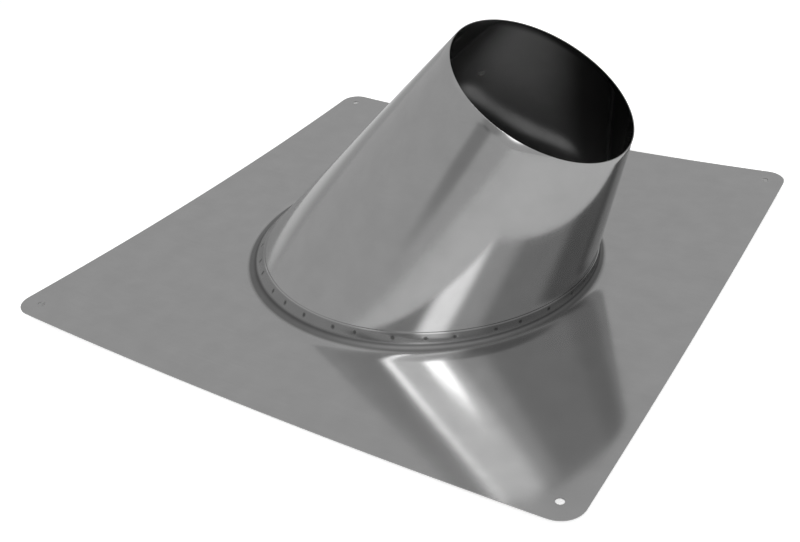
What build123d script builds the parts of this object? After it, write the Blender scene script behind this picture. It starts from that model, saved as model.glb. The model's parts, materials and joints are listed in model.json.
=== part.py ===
"""Roof flashing for a round flue on a pitched roof.

Two pieces of thin stainless sheet. The base plate is a square with rounded
corners and a nail hole near each one. Round its opening the sheet is drawn up
into a curved seat. The drawing leaves the plate slightly cupped, so it rests on
the circle where the seat begins and its corners stand clear of the roof. The
collar is one tapered sleeve. Its foot is round and level, and stands in the seat.
Its rim is round too, and leans uphill by the roof pitch, so the flue passes
through it upright. The sleeve is rolled from flat sheet, so straight lines run up
it from foot to rim, and along each of them the sheet isn't twisted.

Frame: origin at the plate's centre, level with the circle that it rests on.
+X points uphill, +Y across the roof and +Z away from it.
"""

import os
from math import acos, atan, atan2, cos, degrees, hypot, radians, sin, sqrt

from build123d import *

os.makedirs("parts", exist_ok=True)

# Driving dimensions, in millimetres and degrees

sheet = 0.7  # thickness of both sheets

plate_side = 500.0  # square plate, edge to edge
plate_corner_radius = 18.0
plate_cup_radius = 4630.0  # radius of the shallow cup left by drawing the seat
nail_hole_diameter = 6.0
nail_hole_inset = 17.0  # hole centre to each of the two edges beside it

roof_pitch = 30.0  # lean of the collar's rim towards the uphill side
rim_diameter = 154.0  # outside of the sleeve at its upper edge
rim_reach = 111.5  # rim centre uphill of the plate's centre
rim_height = 168.0  # rim centre above the resting circle

foot_diameter = 298.0  # outside of the sleeve at its lower edge
foot_lift = 4.5  # lower edge above the resting circle
bend_lines = 16  # straight lines up the sleeve that are set out exactly

seat_flare = 10.0  # circle where the plate turns up, all round outside the foot
seat_height = 14.0  # upper edge of the seat above the resting circle
seat_first_rise = 2.0  # rise of the blend's corner, which sets how sharply the seat starts
seat_clearance = 0.15  # all round, between the seat and the collar

# Values that follow from them

foot_radius = foot_diameter / 2
rim_radius = rim_diameter / 2
seat_radius = foot_radius + seat_flare
wall_rise = rim_height - foot_lift
wall_lean = atan((foot_radius - rim_radius) / wall_rise)
skin = sheet / cos(wall_lean)  # the sheet's thickness, measured level
cup_depth = sqrt(plate_cup_radius**2 - seat_radius**2)
plate_reach = hypot(plate_side, plate_side) / 2 + plate_corner_radius
nail_hole_pitch = plate_side - 2 * nail_hole_inset
rim_to_fold = wall_rise / sin(radians(roof_pitch))  # rim centre to where both end planes meet
foot_to_fold = rim_reach + rim_to_fold * cos(radians(roof_pitch))  # foot centre to that line

foot_plane = Plane.XY.offset(foot_lift)
rim_plane = Plane(
    origin=(rim_reach, 0, rim_height),
    x_dir=(cos(radians(roof_pitch)), 0, -sin(radians(roof_pitch))),
    z_dir=(sin(radians(roof_pitch)), 0, cos(radians(roof_pitch))),
)


def rim_angle(foot_angle):
    """Angle on the rim that a straight line from an angle on the foot runs up to.

    The tangents at its two ends meet where the planes of foot and rim meet, so the
    sheet has one tangent plane all the way up the line.
    """
    across = sin(radians(foot_angle))
    along = foot_radius - foot_to_fold * cos(radians(foot_angle))
    spread = hypot(rim_to_fold * across, along)
    angle = atan2(along, rim_to_fold * across) + acos(rim_radius * across / spread)
    return degrees(angle) % 360


def sleeve_end(plane, radius, angles):
    """Disc at one end of the sleeve, its edge split where the straight lines meet it."""
    with BuildSketch(plane) as disc:
        with BuildLine():
            for start, end in zip(angles, angles[1:] + angles[:1]):
                CenterArc((0, 0), radius, start, (end - start) % 360)
        make_face()
    return disc.sketch.face()


def sleeve_section(height, growth):
    """Level section of the sleeve's outside: centre, half length and half width."""
    up_edge = rim_height - rim_radius * sin(radians(roof_pitch))
    down_edge = rim_height + rim_radius * sin(radians(roof_pitch))
    half_span = rim_radius * cos(radians(roof_pitch))
    share_up = (height - foot_lift) / (up_edge - foot_lift)
    share_down = (height - foot_lift) / (down_edge - foot_lift)
    share_side = (height - foot_lift) / wall_rise
    uphill = foot_radius + (rim_reach + half_span - foot_radius) * share_up
    downhill = -foot_radius + (rim_reach - half_span + foot_radius) * share_down
    half_width = foot_radius + (rim_radius - foot_radius) * share_side
    return (uphill + downhill) / 2, (uphill - downhill) / 2 + growth, half_width + growth


def seat_sections(level, growth):
    """Sections of one skin of the seat, blended from inside the plate to the sleeve."""
    toe = (0.0, seat_radius, seat_radius, level)
    corner = (*sleeve_section(level, growth), level + seat_first_rise)
    crest = (*sleeve_section(seat_height, growth), seat_height)
    for step in (-0.1, 0.0, 0.3, 0.65, 1.0):
        blend = [
            (1 - step) ** 2 * a + 2 * step * (1 - step) * b + step**2 * c
            for a, b, c in zip(toe, corner, crest)
        ]
        yield blend


foot_angles = [360 * line / bend_lines for line in range(bend_lines)]
rim_angles = [rim_angle(angle) for angle in foot_angles]

# Room for the sleeve: its plain solid with the clearance round it

with BuildPart() as sleeve_room:
    room_foot = sleeve_end(foot_plane, foot_radius + seat_clearance, foot_angles)
    room_rim = sleeve_end(rim_plane, rim_radius + seat_clearance, rim_angles)
    loft([room_foot, room_rim], ruled=True)

# Upper skin of the seat

with BuildPart() as seat_body:
    for centre, length, width, height in seat_sections(sheet, seat_clearance + skin):
        with BuildSketch(Plane((centre, 0, height))):
            Ellipse(length, width)
    loft()

# Under skin of the seat

with BuildPart() as seat_hollow:
    for centre, length, width, height in seat_sections(0.0, seat_clearance):
        with BuildSketch(Plane((centre, 0, height))):
            Ellipse(length, width)
    loft()

# Base plate: the cupped sheet, trimmed square, opened, and joined to its seat

with BuildPart() as base_plate:
    with BuildSketch(Plane.XZ):
        with BuildLine():
            under = CenterArc((0, cup_depth), plate_cup_radius, -90, 6)
            upper = CenterArc((0, cup_depth + sheet), plate_cup_radius, -90, 6)
            Line(under @ 0, upper @ 0)
            Line(under @ 1, upper @ 1)
        make_face()
    revolve(axis=Axis.Z)
    with BuildSketch(Plane.XY.offset(-plate_reach)):
        RectangleRounded(plate_side, plate_side, plate_corner_radius)
    extrude(amount=2 * plate_reach, mode=Mode.INTERSECT)
    with BuildSketch(Plane.XY.offset(-plate_reach)):
        Circle((foot_radius + seat_radius) / 2)
        with GridLocations(nail_hole_pitch, nail_hole_pitch, 2, 2):
            Circle(nail_hole_diameter / 2)
    extrude(amount=2 * plate_reach, mode=Mode.SUBTRACT)
    add(seat_body.part)
    add(seat_hollow.part, mode=Mode.SUBTRACT)
    add(sleeve_room.part, mode=Mode.SUBTRACT)

# Collar: the sleeve, hollowed to the sheet's thickness and open at both ends

with BuildPart() as collar:
    foot = sleeve_end(foot_plane, foot_radius, foot_angles)
    rim = sleeve_end(rim_plane, rim_radius, rim_angles)
    loft([foot, rim], ruled=True)
    ends = collar.faces().filter_by(GeomType.PLANE)
    offset(amount=-sheet, openings=ends)

base_plate.part.label = "base_plate"
collar.part.label = "collar"

for piece in (base_plate, collar):
    export_step(piece.part, f"parts/{piece.part.label}.step")
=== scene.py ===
# %% [markdown]
# # Roof flashing for a flue
#
# A square plate of thin stainless sheet carries a tapered collar that leans
# uphill. The plate is drawn up into a curved seat round the collar's foot, and a
# ring of spot welds joins the two. The sheet is bright and smooth, so what the
# eye sees is mostly reflection: the plate mirrors the collar, and the collar
# mirrors the plate and the floor beyond it. The true curves of both sheets
# therefore matter more than any pattern on them.

# %% Load the frame
import json

from math import acos, atan2, cos, hypot, pi, radians, sin, sqrt

import bpy
from mathutils import Matrix, Vector


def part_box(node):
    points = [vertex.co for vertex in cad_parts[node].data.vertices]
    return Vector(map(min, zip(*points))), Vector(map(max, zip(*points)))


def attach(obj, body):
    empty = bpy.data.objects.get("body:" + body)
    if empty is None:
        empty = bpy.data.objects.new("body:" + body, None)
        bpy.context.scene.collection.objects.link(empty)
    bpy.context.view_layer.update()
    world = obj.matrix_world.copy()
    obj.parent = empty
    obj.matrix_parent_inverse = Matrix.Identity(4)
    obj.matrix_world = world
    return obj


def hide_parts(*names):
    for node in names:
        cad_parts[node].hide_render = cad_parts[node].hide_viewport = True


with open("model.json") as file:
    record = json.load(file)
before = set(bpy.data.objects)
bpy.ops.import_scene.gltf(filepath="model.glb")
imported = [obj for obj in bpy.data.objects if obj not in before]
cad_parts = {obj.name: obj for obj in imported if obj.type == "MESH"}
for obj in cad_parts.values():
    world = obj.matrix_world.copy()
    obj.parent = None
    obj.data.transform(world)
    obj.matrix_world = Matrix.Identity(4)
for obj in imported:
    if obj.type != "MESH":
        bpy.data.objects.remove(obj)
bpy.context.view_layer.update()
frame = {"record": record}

# %% [markdown]
# ## Sizes
#
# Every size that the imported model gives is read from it: from the boxes of its two
# nodes and the places of its mounts. Only the sheet's thickness, the shape of the
# seat, the plate's corners and its cup are written here, because a box doesn't show
# them. All are in metres.

# %% Read the sizes from the frame
plate_low, plate_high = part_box("base_plate")
collar_low, collar_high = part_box("collar")
mounts = {mount["name"]: mount for mount in frame["record"]["mounts"]}

plate_side = plate_high[0] - plate_low[0]
foot_radius = -collar_low[0]
foot_height = collar_low[2]
rim_centre = Vector(mounts["flue_rim"]["pos_m"])
rim_axis = Vector(mounts["flue_rim"]["axis"])
rim_lean = atan2(rim_axis.x, rim_axis.z)
rim_radius = (collar_high[2] - rim_centre.z) / sin(rim_lean)
seat_crest = plate_high[2]
nail_hole_radius = mounts["nail_holes"]["dims"]["hole_r_mm"] / 1000
nail_hole_reach = mounts["nail_holes"]["dims"]["spacing_x_mm"] / 2000

sheet = 0.0007
seat_radius = 0.159  # circle that the plate rests on
seat_soft_edge = 0.1665  # circle where the plate begins to turn up
seat_bend_level = 0.0004  # height of the corner that the bend rounds off
seat_bend_pull = 1.6  # how closely the bend follows that corner
seat_clearance = 0.00015  # between the seat and the collar
plate_corner_radius = 0.018
cup_radius = 4.630
cup_depth = sqrt(cup_radius**2 - seat_radius**2)  # cup's centre above the resting circle
print("plate", plate_side, "foot", foot_radius, "rim", rim_radius, "lean", rim_lean)

# %% [markdown]
# ## The camera
#
# The view is a three-quarter one from the downhill side, high enough to look
# into the collar. The lens, place and tilt were worked out from the plate's
# corners and the ellipse of the rim, so the camera comes first and everything
# else is judged through it.

# %% Place the camera
camera_place = Vector((0.39438, -0.62262, 0.44154))
camera_target = Vector((0.00023, -0.04368, 0.0))
camera_roll = radians(-4.20)
camera_lens = 43.36
camera_film = 36.0

camera_data = bpy.data.cameras.new("camera")
camera_data.lens = camera_lens
camera_data.sensor_width = camera_film
camera_data.clip_start = 0.01
camera = bpy.data.objects.new("camera", camera_data)
bpy.context.scene.collection.objects.link(camera)
aim = (camera_target - camera_place).to_track_quat("-Z", "Y").to_matrix().to_4x4()
roll = Matrix.Rotation(camera_roll, 4, "Z")
camera.matrix_world = Matrix.Translation(camera_place) @ aim @ roll
bpy.context.scene.camera = camera

# %% [markdown]
# ## Working in edit mode
#
# An operator acts on everything that is selected, so each step starts from an
# empty selection. These helpers switch modes, pick parts of a mesh by their
# place, and apply a modifier once it has done its work.

# %% Helpers for modelling
def clear_selection():
    if bpy.context.object and bpy.context.object.mode != "OBJECT":
        bpy.ops.object.mode_set(mode="OBJECT")
    bpy.ops.object.select_all(action="DESELECT")


def work_on(piece):
    clear_selection()
    piece.select_set(True)
    bpy.context.view_layer.objects.active = piece


def name_new(name):
    piece = bpy.context.object
    piece.name = name
    piece.data.name = name
    return piece


def apply_modifier(piece, kind, **settings):
    work_on(piece)
    modifier = piece.modifiers.new(kind.title(), kind)
    for key, value in settings.items():
        setattr(modifier, key, value)
    bpy.ops.object.modifier_apply(modifier=modifier.name)


def settle(piece):
    work_on(piece)
    bpy.ops.object.transform_apply(location=True, rotation=True, scale=True)


def delete(piece):
    bpy.data.objects.remove(piece, do_unlink=True)


def next_ring(previous, ring):
    """Extrudes the selected loop from one level ellipse to the next."""
    shift = (ring[0] - previous[0], 0, ring[3] - previous[3])
    bpy.ops.mesh.extrude_edges_move(TRANSFORM_OT_translate={"value": shift})
    stretch = (ring[1] / previous[1], ring[2] / previous[2], 1)
    bpy.ops.transform.resize(value=stretch, center_override=(ring[0], 0, ring[3]))


# %% [markdown]
# ## The base plate
#
# The real plate is one sheet. Drawing the seat has left it slightly cupped, like
# a very shallow dish, and its corners stand about a centimetre clear. It could
# be a grid that is bent by a modifier, but the seat has to follow the sloping
# collar. So the sheet is grown ring by ring from the crest of the seat: each
# ring is an ellipse, extruded from the last one, moved and stretched. Between the
# plate and the crest, the rings follow one curve that rounds off the corner
# between them.

# %% Work out the rings
def sleeve_section(height, growth):
    """Level section of the collar's outside: centre, half length, half width."""
    rise = rim_centre.z - foot_height
    half_span = rim_radius * cos(rim_lean)
    drop = rim_radius * sin(rim_lean)
    up = (height - foot_height) / (rise - drop)
    down = (height - foot_height) / (rise + drop)
    side = (height - foot_height) / rise
    uphill = foot_radius + (rim_centre.x + half_span - foot_radius) * up
    downhill = -foot_radius + (rim_centre.x - half_span + foot_radius) * down
    width = foot_radius + (rim_radius - foot_radius) * side
    return (uphill + downhill) / 2, (uphill - downhill) / 2 + growth, width + growth


def cup_ring(radius):
    """Ring of the cupped plate's upper skin."""
    return (0.0, radius, radius, sheet + cup_depth - sqrt(cup_radius**2 - radius**2))


def seat_ring(share):
    """Ring of the seat's upper skin, from the plate at 0 to the crest at 1."""
    wall_lean = atan2(foot_radius - rim_radius, rim_centre.z - foot_height)
    growth = seat_clearance + sheet / cos(wall_lean)
    toe = cup_ring(seat_soft_edge)
    bend = (*sleeve_section(sheet, growth), seat_bend_level)
    crest = (*sleeve_section(seat_crest, growth), seat_crest)
    weights = ((1 - share) ** 2, 2 * seat_bend_pull * share * (1 - share), share**2)
    return tuple(
        (weights[0] * a + weights[1] * b + weights[2] * c) / sum(weights)
        for a, b, c in zip(toe, bend, crest)
    )


seat_steps = 30
cup_steps = 26
cup_spacing = 1.3  # above 1, the rings lie closer together near the seat
plate_reach = plate_side * 0.74  # past the corners, so that the blank can be trimmed out
rings = [seat_ring(1 - step / seat_steps) for step in range(seat_steps + 1)]
rings += [
    cup_ring(seat_soft_edge + (plate_reach - seat_soft_edge) * (step / cup_steps) ** cup_spacing)
    for step in range(1, cup_steps + 1)
]
print("rings:", len(rings), "corner lift:", cup_ring(plate_side / sqrt(2))[3])

# %% Grow the sheet
plate_round_steps = 576
crest_x, crest_half_length, crest_half_width, crest_z = rings[0]
crest_centre = (crest_x, 0, crest_z)
clear_selection()
bpy.ops.mesh.primitive_circle_add(
    vertices=plate_round_steps, radius=crest_half_length, location=crest_centre
)
base_plate = name_new("flashing_plate")
settle(base_plate)
bpy.ops.object.mode_set(mode="EDIT")
bpy.ops.mesh.select_mode(type="EDGE")
bpy.ops.mesh.select_all(action="SELECT")
bpy.ops.transform.resize(
    value=(1, crest_half_width / crest_half_length, 1), center_override=crest_centre
)
for previous, ring in zip(rings, rings[1:]):
    next_ring(previous, ring)
bpy.ops.mesh.select_all(action="SELECT")
bpy.ops.mesh.normals_make_consistent(inside=False)
bpy.ops.object.mode_set(mode="OBJECT")
if sum(face.normal.z * face.area for face in base_plate.data.polygons) < 0:
    bpy.ops.object.mode_set(mode="EDIT")
    bpy.ops.mesh.flip_normals()
    bpy.ops.object.mode_set(mode="OBJECT")
apply_modifier(base_plate, "SOLIDIFY", thickness=sheet, offset=-1, use_even_offset=True)
print("sheet faces:", len(base_plate.data.polygons))

# %% [markdown]
# The blank is a square with rounded corners. A block of that outline trims the
# sheet, and four pins punch the nail holes, just as a press would do it.

# %% Trim the blank and punch the nail holes
corner_segments = 14
hole_segments = 32
punch_length = plate_side / 5
clear_selection()
bpy.ops.mesh.primitive_cube_add(size=plate_side)
blank = name_new("blank")
bpy.ops.object.mode_set(mode="EDIT")
bpy.ops.mesh.select_mode(type="EDGE")
bpy.ops.mesh.select_all(action="DESELECT")
bpy.ops.object.mode_set(mode="OBJECT")
for edge in blank.data.edges:
    ends = [blank.data.vertices[index].co for index in edge.vertices]
    edge.select = abs(ends[0].z - ends[1].z) > plate_side / 2
bpy.ops.object.mode_set(mode="EDIT")
bpy.ops.mesh.bevel(offset=plate_corner_radius, segments=corner_segments, affect="EDGES")
bpy.ops.object.mode_set(mode="OBJECT")
apply_modifier(base_plate, "BOOLEAN", object=blank, operation="INTERSECT", solver="EXACT")
delete(blank)

for x_side in (-1, 1):
    for y_side in (-1, 1):
        clear_selection()
        bpy.ops.mesh.primitive_cylinder_add(
            vertices=hole_segments,
            radius=nail_hole_radius,
            depth=punch_length,
            location=(x_side * nail_hole_reach, y_side * nail_hole_reach, 0),
        )
        punch = name_new("punch")
        settle(punch)
        apply_modifier(
            base_plate, "BOOLEAN", object=punch, operation="DIFFERENCE", solver="EXACT"
        )
        delete(punch)
print("plate faces:", len(base_plate.data.polygons))

# %% [markdown]
# ## The spot welds
#
# A wheel of spot welds joins the seat to the collar. The welder's copper tip leaves
# a small round dimple at each, about ten degrees apart and a little uneven, because
# the work is turned by hand. The dimples could be cut with a boolean, but they are
# only a fifth of a millimetre deep, so the seat's own points are pressed in.

# %% Press the spot welds
weld_count = 36
weld_height = 0.0093
weld_size = 0.0024
weld_depth = 0.0002
weld_wander = 0.13  # greatest shift from an even step, as a share of the step
weld_swing = 2.4  # radians that the shift's sine goes on from one weld to the next
weld_start = weld_count + 0.45  # whole turns keep the count positive all the way round
outer_skin = 0.3  # a point on the outer skin faces outward by more than this


def weld_share(place):
    """1 at the middle of a weld, 0 at its edge and beyond."""
    turn = atan2(place.y, place.x) * weld_count / (2 * pi) + weld_start
    number = int(turn)
    aside = turn - number - 0.5 - weld_wander * sin(weld_swing * number)
    arc = aside * 2 * pi / weld_count * hypot(place.x, place.y)
    return max(0.0, 1 - hypot(arc, place.z - weld_height) / weld_size)


pressed = 0
for vertex in base_plate.data.vertices:
    outward = Vector((vertex.co.x, vertex.co.y, 0)).normalized()
    on_seat = hypot(vertex.co.x, vertex.co.y) < seat_radius
    if on_seat and vertex.normal.dot(outward) > outer_skin:
        share = weld_share(vertex.co)
        if share > 0:
            vertex.co -= outward * weld_depth * share * share * (3 - 2 * share)
            pressed += 1
print("points pressed in:", pressed)

# %% [markdown]
# ## The collar
#
# The collar is a cone that leans over: a level circle at the foot, a smaller
# tilted circle at the rim, and straight lines between them. One extrusion from
# the foot, turned and scaled into the rim's plane, gives those lines, and a
# subdivision along them keeps them straight. Rolled sheet can't twist, so each
# line ends where the rim's tangent meets the foot's: then the sheet has one
# tangent plane all along it, and a reflection runs straight up the collar.

# %% Raise the collar
def rim_angle(foot_angle):
    """Angle on the rim that the straight line from an angle on the foot runs up to."""
    rim_to_fold = (rim_centre.z - foot_height) / sin(rim_lean)
    foot_to_fold = rim_centre.x + rim_to_fold * cos(rim_lean)
    across = sin(foot_angle)
    along = foot_radius - foot_to_fold * cos(foot_angle)
    spread = hypot(rim_to_fold * across, along)
    return atan2(along, rim_to_fold * across) + acos(rim_radius * across / spread)


def rim_point(angle):
    """Place on the rim at an angle round it, starting from its uphill side."""
    uphill = Vector((cos(rim_lean), 0, -sin(rim_lean)))
    return rim_centre + rim_radius * (cos(angle) * uphill + sin(angle) * Vector((0, 1, 0)))


collar_round_steps = 288
collar_cuts = 24  # level cuts between the foot and the rim
edge_rounding = sheet * 0.2
lift = rim_centre.z - foot_height
uphill_shift = rim_centre.x / rim_centre.z  # of the collar's middle, for each step up
clear_selection()
bpy.ops.mesh.primitive_circle_add(
    vertices=collar_round_steps, radius=foot_radius, location=(0, 0, foot_height)
)
collar = name_new("flashing_collar")
settle(collar)
bpy.ops.object.mode_set(mode="EDIT")
bpy.ops.mesh.select_mode(type="EDGE")
bpy.ops.mesh.select_all(action="SELECT")
bpy.ops.mesh.extrude_edges_move(TRANSFORM_OT_translate={"value": (0, 0, lift)})
bpy.ops.object.mode_set(mode="OBJECT")
for vertex in collar.data.vertices:
    if vertex.co.z > foot_height + lift / 2:
        vertex.co = rim_point(rim_angle(atan2(vertex.co.y, vertex.co.x)))
for edge in collar.data.edges:
    ends = [collar.data.vertices[index].co for index in edge.vertices]
    edge.select = (ends[0] - ends[1]).length > rim_radius
bpy.ops.object.mode_set(mode="EDIT")
bpy.ops.mesh.subdivide(number_cuts=collar_cuts)
bpy.ops.mesh.select_all(action="SELECT")
bpy.ops.mesh.normals_make_consistent(inside=False)
bpy.ops.object.mode_set(mode="OBJECT")
faces_outward = sum(
    (face.center - face.center.z * Vector((uphill_shift, 0, 1))).dot(face.normal)
    for face in collar.data.polygons
)
if faces_outward < 0:
    bpy.ops.object.mode_set(mode="EDIT")
    bpy.ops.mesh.flip_normals()
    bpy.ops.object.mode_set(mode="OBJECT")
apply_modifier(collar, "SOLIDIFY", thickness=sheet, offset=-1, use_even_offset=True)
apply_modifier(
    collar,
    "BEVEL",
    width=edge_rounding,
    segments=2,
    limit_method="ANGLE",
    angle_limit=radians(60),
)
print("collar faces:", len(collar.data.polygons))

# %% Smooth the curved sheets
for piece in (base_plate, collar):
    work_on(piece)
    bpy.ops.object.shade_smooth_by_angle(angle=radians(35))

# %% [markdown]
# ## The finish
#
# Bright rolled stainless is a mirror that is slightly milky. The rolls leave
# hair-fine lines along the sheet and a faint cloudiness, and thin sheet is never
# quite flat, so reflections wander a little. One node group gives all three, and
# both sheets use it with their own values. Where the sheet is lighter it is also
# a little smoother.

# %% Node helpers
def new_node(tree, kind, **settings):
    node = tree.nodes.new("ShaderNode" + kind)
    for key, value in settings.items():
        setattr(node, key, value)
    return node


def join(tree, source, target):
    tree.links.new(source, target)


def calculate(tree, operation, *values):
    """Adds a Math node. Each value is a number or the socket that it comes from."""
    node = new_node(tree, "Math", operation=operation)
    for socket, value in zip(node.inputs, values):
        if isinstance(value, (int, float)):
            socket.default_value = value
        else:
            join(tree, value, socket)
    return node.outputs[0]


def fade(tree, value, start, end):
    """A mask that rises smoothly from 0 at start to 1 at end."""
    node = new_node(tree, "MapRange", interpolation_type="SMOOTHSTEP")
    join(tree, value, node.inputs["Value"])
    for name, limit in (("From Min", start), ("From Max", end)):
        if isinstance(limit, (int, float)):
            node.inputs[name].default_value = limit
        else:
            join(tree, limit, node.inputs[name])
    return node.outputs[0]


def round_patch(tree, centre, edge, core):
    """A mask that is 1 within the core distance of a place and 0 past the edge."""
    where = new_node(tree, "TexCoord")
    away = new_node(tree, "VectorMath", operation="DISTANCE")
    join(tree, where.outputs["Object"], away.inputs[0])
    away.inputs[1].default_value = centre
    return fade(tree, away.outputs["Value"], edge, core)


def make_group(name, inputs, outputs):
    group = bpy.data.node_groups.new(name, "ShaderNodeTree")
    for socket in inputs:
        group.interface.new_socket(name=socket, in_out="INPUT", socket_type="NodeSocketFloat")
    for socket in outputs:
        group.interface.new_socket(name=socket, in_out="OUTPUT", socket_type="NodeSocketFloat")
    return group, group.nodes.new("NodeGroupInput"), group.nodes.new("NodeGroupOutput")


def place_group(tree, group, **values):
    node = new_node(tree, "Group")
    node.node_tree = group
    for name, value in values.items():
        node.inputs[name.replace("_", " ").capitalize()].default_value = value
    return node


# %% Rolled sheet: hair lines, clouds and waves
hair_stretch = (6, 240, 240)
hair_scale, cloud_scale, wave_scale = 3.0, 48.0, 9.0
smoother = -0.25  # change of roughness for each step of tone
rolled_sheet, given, found = make_group(
    "rolled_sheet", ("Roughness", "Hair lines", "Clouds"), ("Tone", "Roughness", "Waves")
)
place = new_node(rolled_sheet, "TexCoord")
along_rolls = new_node(rolled_sheet, "Mapping")
along_rolls.inputs["Scale"].default_value = hair_stretch
join(rolled_sheet, place.outputs["Object"], along_rolls.inputs["Vector"])


def add_noise(tree, vector, scale, detail):
    noise = new_node(tree, "TexNoise")
    noise.inputs["Scale"].default_value = scale
    noise.inputs["Detail"].default_value = detail
    join(tree, vector, noise.inputs["Vector"])
    return calculate(tree, "SUBTRACT", noise.outputs["Fac"], 0.5)


hair = add_noise(rolled_sheet, along_rolls.outputs["Vector"], hair_scale, 4)
cloud = add_noise(rolled_sheet, place.outputs["Object"], cloud_scale, 4)
wave = add_noise(rolled_sheet, place.outputs["Object"], wave_scale, 1)
hair = calculate(rolled_sheet, "MULTIPLY", hair, given.outputs["Hair lines"])
cloud = calculate(rolled_sheet, "MULTIPLY", cloud, given.outputs["Clouds"])
change = calculate(rolled_sheet, "ADD", hair, cloud)
join(rolled_sheet, calculate(rolled_sheet, "ADD", change, 1.0), found.inputs["Tone"])
rough = calculate(rolled_sheet, "MULTIPLY_ADD", change, smoother, given.outputs["Roughness"])
join(rolled_sheet, rough, found.inputs["Roughness"])
join(rolled_sheet, wave, found.inputs["Waves"])

# %% [markdown]
# Each weld is also burnt dark. A second group draws the marks by angle and height,
# at the places where the dimples are. It marks the dull band that they sit in too,
# darker by heat tint and by painted shade that grows uphill, and the bend at the
# seat's foot, darkened as painted shade.

# %% The colour of the welds
marks_end = (0.1630, 0.1590)  # radius: no marks past the first, full marks inside the second
dot_core = 0.0005
band_foot = (0.0030, 0.0050)  # heights: none at the first, full at the second
band_top = (0.0136, 0.0124)
bend_foot = (0.0012, 0.0022)
bend_top = (0.0068, 0.0046)
uphill_part = (0.40, 0.95)  # share of the radius uphill, where the band's painted shade grows darker
uphill_shade_by = 0.25

weld_marks_and_shade, given, found = make_group("weld_marks_and_shade", ("Reach", "Size"), ("Dots", "Band tint and shade", "Bend shade"))
place = new_node(weld_marks_and_shade, "TexCoord")
split = new_node(weld_marks_and_shade, "SeparateXYZ")
join(weld_marks_and_shade, place.outputs["Object"], split.inputs[0])
flat = new_node(weld_marks_and_shade, "CombineXYZ")
join(weld_marks_and_shade, split.outputs["X"], flat.inputs["X"])
join(weld_marks_and_shade, split.outputs["Y"], flat.inputs["Y"])
radius = new_node(weld_marks_and_shade, "VectorMath", operation="LENGTH")
join(weld_marks_and_shade, flat.outputs[0], radius.inputs[0])
near = fade(weld_marks_and_shade, radius.outputs["Value"], *marks_end)

angle = calculate(weld_marks_and_shade, "ARCTAN2", split.outputs["Y"], split.outputs["X"])
turn = calculate(weld_marks_and_shade, "MULTIPLY_ADD", angle, weld_count / (2 * pi), weld_start)
number = calculate(weld_marks_and_shade, "FLOOR", turn)
swing = calculate(weld_marks_and_shade, "SINE", calculate(weld_marks_and_shade, "MULTIPLY", number, weld_swing))
middle = calculate(weld_marks_and_shade, "MULTIPLY_ADD", swing, weld_wander, 0.5)
aside = calculate(weld_marks_and_shade, "SUBTRACT", calculate(weld_marks_and_shade, "FRACT", turn), middle)
arc = calculate(weld_marks_and_shade, "MULTIPLY", aside, 2 * pi / weld_count)
arc = calculate(weld_marks_and_shade, "MULTIPLY", arc, given.outputs["Reach"])
lift = calculate(weld_marks_and_shade, "SUBTRACT", split.outputs["Z"], weld_height)
off = new_node(weld_marks_and_shade, "CombineXYZ")
join(weld_marks_and_shade, arc, off.inputs["X"])
join(weld_marks_and_shade, lift, off.inputs["Y"])
away = new_node(weld_marks_and_shade, "VectorMath", operation="LENGTH")
join(weld_marks_and_shade, off.outputs[0], away.inputs[0])
dots = fade(weld_marks_and_shade, away.outputs["Value"], given.outputs["Size"], dot_core)
join(weld_marks_and_shade, calculate(weld_marks_and_shade, "MULTIPLY", dots, near), found.inputs["Dots"])

# The band: heat tint, with painted shade that is strongest uphill.
above = fade(weld_marks_and_shade, split.outputs["Z"], *band_foot)
below = fade(weld_marks_and_shade, split.outputs["Z"], *band_top)
band = calculate(weld_marks_and_shade, "MULTIPLY", calculate(weld_marks_and_shade, "MULTIPLY", above, below), near)
uphill = calculate(weld_marks_and_shade, "DIVIDE", split.outputs["X"], radius.outputs["Value"])
uphill_shade = fade(weld_marks_and_shade, uphill, *uphill_part)
uphill_shade = calculate(weld_marks_and_shade, "MULTIPLY_ADD", uphill_shade, uphill_shade_by, 1 - uphill_shade_by)
join(weld_marks_and_shade, calculate(weld_marks_and_shade, "MULTIPLY", band, uphill_shade), found.inputs["Band tint and shade"])
# The bend at the seat's foot: painted shade in the crease.
bend_low = fade(weld_marks_and_shade, split.outputs["Z"], *bend_foot)
bend_high = fade(weld_marks_and_shade, split.outputs["Z"], *bend_top)
bend = calculate(weld_marks_and_shade, "MULTIPLY", bend_low, bend_high)
join(weld_marks_and_shade, calculate(weld_marks_and_shade, "MULTIPLY", bend, near), found.inputs["Bend shade"])

# %% Mix the steel
relief_height = 0.001  # of a wave, at a depth of 1
dot_relief = -0.05  # the burnt dots lie a little lower


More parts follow.
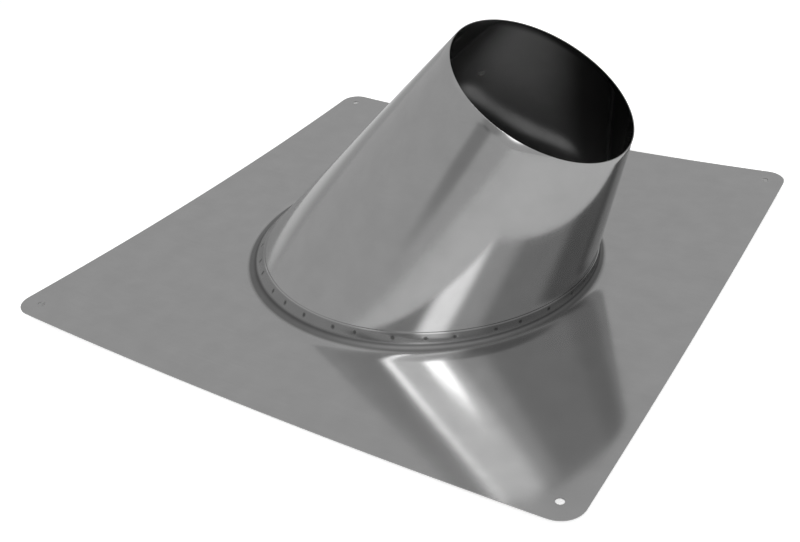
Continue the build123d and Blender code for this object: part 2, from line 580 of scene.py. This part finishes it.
def make_steel(name, tone, sheet_values, weld_values, wave_depth, marks):
    """A metallic shader. Each mark is how much darker and how much rougher it is."""
    material = bpy.data.materials.new(name)
    material.use_nodes = True
    tree = material.node_tree
    shader = tree.nodes["Principled BSDF"]
    shader.inputs["Metallic"].default_value = 1.0
    rolled = place_group(tree, rolled_sheet, **sheet_values)
    welds = place_group(tree, weld_marks_and_shade, **weld_values)
    shade = calculate(tree, "MULTIPLY", rolled.outputs["Tone"], tone)
    rough = rolled.outputs["Roughness"]
    for mask, (darker, rougher) in marks.items():
        kept = calculate(tree, "MULTIPLY_ADD", welds.outputs[mask], -darker, 1.0)
        shade = calculate(tree, "MULTIPLY", shade, kept)
        rough = calculate(tree, "MULTIPLY_ADD", welds.outputs[mask], rougher, rough)
    join(tree, shade, shader.inputs["Base Color"])
    join(tree, rough, shader.inputs["Roughness"])
    height = calculate(tree, "MULTIPLY", rolled.outputs["Waves"], wave_depth)
    height = calculate(tree, "MULTIPLY_ADD", welds.outputs["Dots"], dot_relief, height)
    relief = new_node(tree, "Bump")
    relief.inputs["Distance"].default_value = relief_height
    join(tree, height, relief.inputs["Height"])
    join(tree, relief.outputs["Normal"], shader.inputs["Normal"])
    return material


def add_light_spot(material, place, size):
    """A small lighter and rougher spot at one place on a sheet."""
    tree = material.node_tree
    shader = tree.nodes["Principled BSDF"]
    light_spot = round_patch(tree, place, size, size * 0.3)
    for name, change in (("Base Color", 0.30), ("Roughness", 0.25)):
        before = shader.inputs[name].links[0].from_socket
        join(tree, calculate(tree, "MULTIPLY_ADD", light_spot, change, before), shader.inputs[name])


# On the plate the band is heat tint with painted shade, and the bend is painted shade.
plate_steel = make_steel(
    "stainless_plate",
    0.50,
    {"roughness": 0.12, "hair_lines": 0.06, "clouds": 0.14},
    {"reach": 0.1505, "size": weld_size},
    0.40,
    {"Band tint and shade": (0.52, 0.10), "Bend shade": (0.60, 0.34), "Dots": (0.60, 0.20)},
)
collar_steel = make_steel(
    "stainless_collar",
    0.50,
    {"roughness": 0.125, "hair_lines": 0.05, "clouds": 0.16},
    {"reach": 0.1485, "size": weld_size},
    0.60,
    {"Band tint and shade": (0.15, 0.08), "Dots": (0.60, 0.20)},
)

# %% [markdown]
# A small lighter and rougher spot shows on the far wall inside the collar. It
# lies on one of the straight lines of the sheet, given by that line's angle at the
# foot and by how far up the line it is.

# %% Add the light spot and put the steel on
light_spot_angle = radians(125)
light_spot_share_up = 0.71
light_spot_size = 0.0045
light_spot_foot = foot_radius * Vector((cos(light_spot_angle), sin(light_spot_angle), 0))
light_spot_foot.z = foot_height
light_spot_place = light_spot_foot.lerp(rim_point(rim_angle(light_spot_angle)), light_spot_share_up)
add_light_spot(collar_steel, light_spot_place, light_spot_size)
for piece, node, steel, slot in (
    (base_plate, "base_plate", plate_steel, "plate_steel"),
    (collar, "collar", collar_steel, "collar_steel"),
):
    piece.data.materials.clear()
    piece.data.materials.append(steel)
    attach(piece, "root")
    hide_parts(node)
print("materials:", [material.name for material in bpy.data.materials])

# %% [markdown]
# ## The studio
#
# The floor is white paper, with painted shade that makes it greyer on the sheet's
# downhill side. Inside the foot the paper is painted dark as shade, apart from a soft
# painted pool of daylight.

# %% Lay the floor
floor_size = 16
# The dark paper inside the foot is painted shade.
paper_dark, paper_white = 0.10, 0.90
foot_shade_edge = (foot_radius * 0.98, foot_radius * 1.05)
# A painted pool of daylight on the paper inside the foot.
daylight_place, daylight_edge, daylight_core = (0.050, 0.045, 0), 0.085, 0.015
daylight_white = 0.58
# Painted shade, greyer towards the downhill side.
grey_way = (-0.95, 0.31, 0)
grey_reach = (0.10, 1.15)
grey_drop = 0.40

clear_selection()
bpy.ops.mesh.primitive_plane_add(size=floor_size, location=(0, 0, 0))
floor = name_new("floor")
settle(floor)
floor_paper = bpy.data.materials.new("floor_paper")
floor_paper.use_nodes = True
tree = floor_paper.node_tree
paper = tree.nodes["Principled BSDF"]
paper.inputs["Roughness"].default_value = 1.0
paper.inputs["Specular IOR Level"].default_value = 0.0
place = new_node(tree, "TexCoord")
distance = new_node(tree, "VectorMath", operation="LENGTH")
join(tree, place.outputs["Object"], distance.inputs[0])
# Painted shade inside the foot, with a painted pool of daylight.
white = fade(tree, distance.outputs["Value"], *foot_shade_edge)
daylight = round_patch(tree, daylight_place, daylight_edge, daylight_core)
daylight = calculate(tree, "MULTIPLY", daylight, daylight_white)
white = calculate(tree, "MAXIMUM", white, daylight)
# Painted shade towards the downhill side.
downhill = new_node(tree, "VectorMath", operation="DOT_PRODUCT")
join(tree, place.outputs["Object"], downhill.inputs[0])
downhill.inputs[1].default_value = grey_way
grey = fade(tree, downhill.outputs["Value"], *grey_reach)
kept = calculate(tree, "MULTIPLY_ADD", grey, -grey_drop, paper_white - paper_dark)
white = calculate(tree, "MULTIPLY", white, kept)
join(tree, calculate(tree, "ADD", white, paper_dark), paper.inputs["Base Color"])

# %% [markdown]
# The camera and the metal both see the paper lighter than it is lit, and everything
# else sees it as it is, so it still takes the plate's shadow. Under the plate and
# along its two far edges that extra light is left out as painted shade, and three of
# the nail holes look down on that. Inside the foot, a small painted glow stands for
# the daylight that the curve of the collar gathers there, and the collar's inside
# mirrors it as light arcs.

# %% Let the paper glow
seen_by_camera = 0.68
seen_by_metal = 0.09
# Painted shade along the two far edges: the glow is left out there.
shade_side = (0.268, 0.256)  # distance over the two far edges, from no shade to full
shade_left = 0.008  # the left edge's shade is narrower by this
shade_end = (0.012, 0.020)  # the shade ends at the two side corners
# A painted glow on the paper inside the foot.
focus_place, focus_edge, focus_core = (0.0075, 0.0935, 0), 0.009, 0.003
focus_glow = 0.17

glow = new_node(tree, "Emission")
rays = new_node(tree, "LightPath")
shine = calculate(tree, "MULTIPLY", rays.outputs["Is Camera Ray"], seen_by_camera)
shine = calculate(tree, "MULTIPLY_ADD", rays.outputs["Is Glossy Ray"], seen_by_metal, shine)
outside = fade(tree, distance.outputs["Value"], foot_radius, plate_side / 2)
shine = calculate(tree, "MULTIPLY", shine, outside)
# Painted shade along the two far edges.
split = new_node(tree, "SeparateXYZ")
join(tree, place.outputs["Object"], split.inputs[0])
left = calculate(tree, "MULTIPLY", split.outputs["X"], -1)
beside = calculate(tree, "ADD", left, shade_left)
beside = calculate(tree, "MAXIMUM", beside, split.outputs["Y"])
corner = calculate(tree, "ADD", left, split.outputs["Y"])
shade = fade(tree, beside, *shade_side)
shade = calculate(tree, "MULTIPLY", shade, fade(tree, corner, *shade_end))
shine = calculate(tree, "MULTIPLY", shine, calculate(tree, "SUBTRACT", 1, shade))
# Painted glow inside the foot.
focus = round_patch(tree, focus_place, focus_edge, focus_core)
join(tree, calculate(tree, "MULTIPLY_ADD", focus, focus_glow, shine), glow.inputs["Strength"])
total = new_node(tree, "AddShader")
join(tree, paper.outputs[0], total.inputs[0])
join(tree, glow.outputs[0], total.inputs[1])
join(tree, total.outputs[0], tree.nodes["Material Output"].inputs["Surface"])
floor.data.materials.append(floor_paper)

# %% [markdown]
# The room round the sheet is grey, and lighter or darker in broad soft patches:
# that is what a mirror needs to look like metal. Each patch is given by the
# direction in which it lies. The camera itself sees plain white.

# %% Paint the room
room_level = 0.52
darkest = 0.03
room_patches = (  # azimuth, elevation, core, edge (degrees) and change of light
    (-60, 25, 4, 13, 2.0),
    (-72, 54, 12, 26, 1.15),
    (-42, 35, 4, 18, 0.36),
    (-170, 62, 16, 32, 0.10),
    (54, 45, 10, 25, -0.28),
    (52, 17, 8, 24, -0.11),
    (84, 38, 5, 16, -0.13),
    (-103, 15, 5, 11, -0.22),
    (-90, 26, 7, 14, -0.20),
)
world = bpy.data.worlds.new("studio")
bpy.context.scene.world = world
world.use_nodes = True
tree = world.node_tree
tree.nodes.clear()
way = new_node(tree, "TexCoord")


def direction(azimuth, elevation):
    turn, tilt = radians(azimuth), radians(elevation)
    return Vector((cos(tilt) * cos(turn), cos(tilt) * sin(turn), sin(tilt)))


def add_patch(level, azimuth, elevation, core, edge, amount):
    """Adds light, or takes it away, inside a soft-edged cone of directions."""
    facing = new_node(tree, "VectorMath", operation="DOT_PRODUCT")
    facing.inputs[1].default_value = direction(azimuth, elevation)
    join(tree, way.outputs["Generated"], facing.inputs[0])
    spread = fade(tree, facing.outputs["Value"], cos(radians(edge)), cos(radians(core)))
    return calculate(tree, "MULTIPLY_ADD", spread, amount, level)


level = room_level
for patch in room_patches:
    level = add_patch(level, *patch)
level = calculate(tree, "MAXIMUM", level, darkest)
backdrop = new_node(tree, "Background")
room = new_node(tree, "Background")
for light in (backdrop, room):
    light.inputs["Color"].default_value = (1, 1, 1, 1)
join(tree, level, room.inputs["Strength"])
rays = new_node(tree, "LightPath")
blend = new_node(tree, "MixShader")
result = new_node(tree, "OutputWorld")
join(tree, rays.outputs["Is Camera Ray"], blend.inputs[0])
join(tree, room.outputs[0], blend.inputs[1])
join(tree, backdrop.outputs[0], blend.inputs[2])
join(tree, blend.outputs[0], result.inputs["Surface"])

# %% [markdown]
# One long tube lamp hangs high on the camera's side. The collar mirrors it as a
# thin line, and the plate mirrors the collar: that is the crisp streak in front.
# A small square lamp hangs much nearer, by the camera. Because it is near, the
# collar mirrors it only from low down, and so the plate shows a bright patch just
# below the seat. The camera doesn't see that lamp itself.

# %% Hang the lamps
lamp_target = Vector((0.06, 0, 0.08))


def add_lamp(name, azimuth, elevation, distance, size, radiance):
    data = bpy.data.lights.new(name, "AREA")
    data.shape = "RECTANGLE"
    data.size, data.size_y = size
    data.energy = radiance * pi * size[0] * size[1]
    lamp = bpy.data.objects.new(name, data)
    lamp.location = direction(azimuth, elevation) * distance + lamp_target
    lamp.rotation_euler = direction(azimuth, elevation).to_track_quat("Z", "Y").to_euler()
    bpy.context.scene.collection.objects.link(lamp)
    return lamp


high_tube = add_lamp("high_tube", -106, 63, 2.0, (0.20, 0.70), 2.9)
near_box = add_lamp("near_box", -65.5, 36, 0.71, (0.14, 0.12), 3.8)
near_box.visible_camera = False
print("lamps:", high_tube.name, near_box.name)

# %% Set the view transform
bpy.context.scene.view_settings.view_transform = "Standard"
